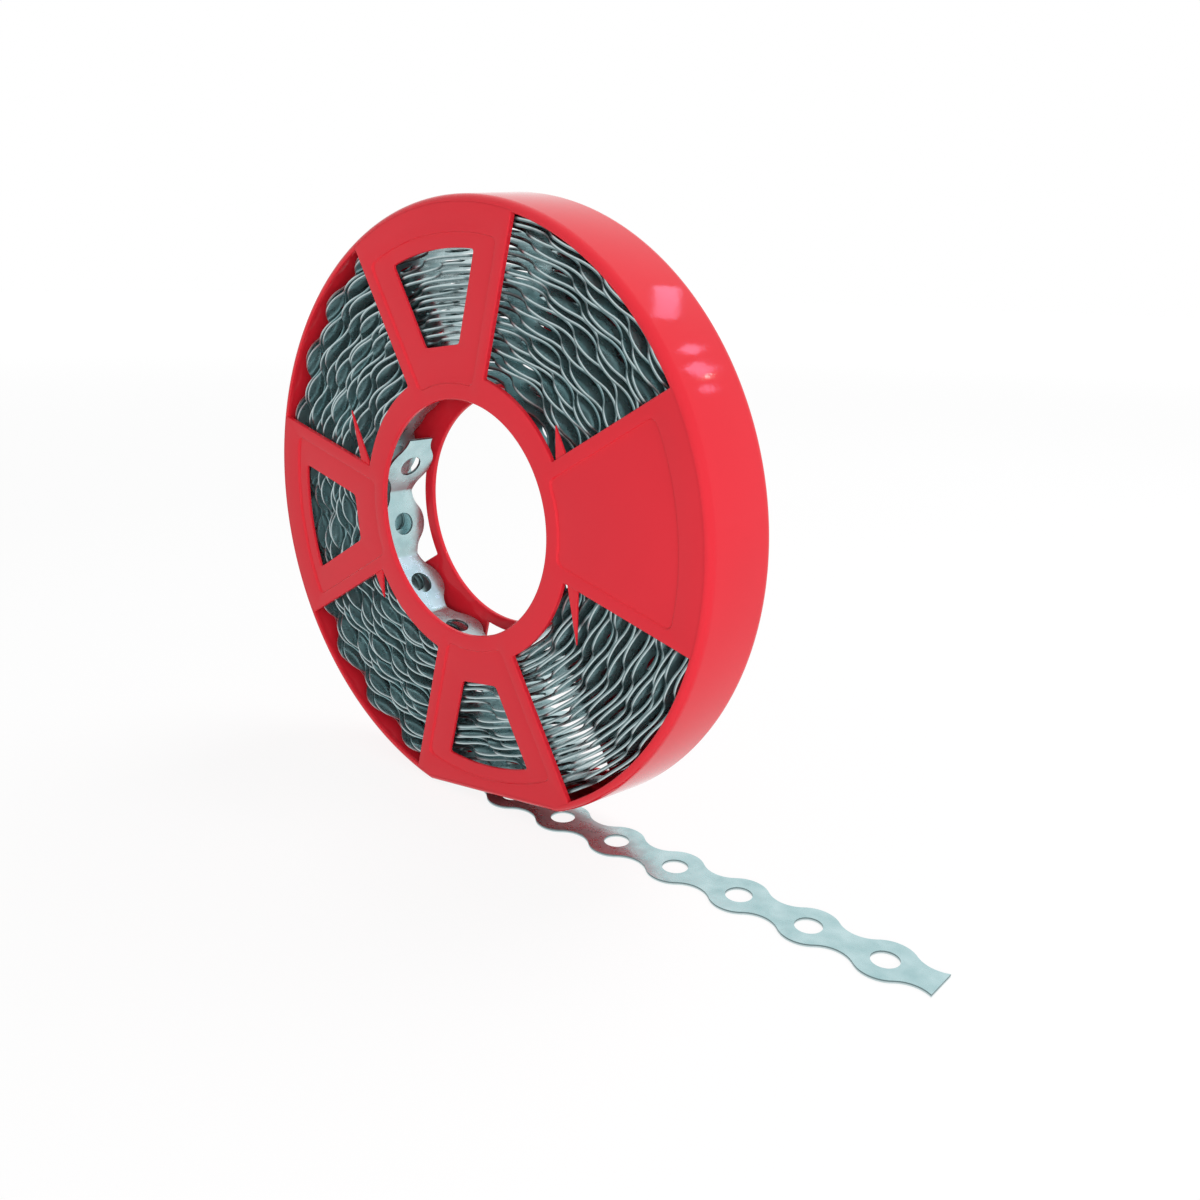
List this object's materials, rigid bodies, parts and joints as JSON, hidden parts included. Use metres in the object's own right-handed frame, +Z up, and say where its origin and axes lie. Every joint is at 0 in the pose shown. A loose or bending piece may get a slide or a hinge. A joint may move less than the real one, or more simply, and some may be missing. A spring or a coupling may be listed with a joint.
{
  "type": "perforated steel strap",
  "caption": "Wavy perforated steel strap coiled in a round open-spoked plastic dispenser case with a flat foot, its free end drawn out through a slot.",
  "frame": {"origin": "centre of the hub bore, midway between the front and back walls", "axes": "+Z up from the floor, +Y along the hub bore from the open front to the lid, +X the way the strap's free end leaves"},
  "size_m": [0.247, 0.0238, 0.181],
  "materials": {
    "red_plastic": "gloss",
    "zinc_steel": "zinc plated"
  },
  "bodies": {
    "root": {"case_shell": "red_plastic", "case_lid": "red_plastic", "strap": "zinc_steel"}
  },
  "joints": []
}
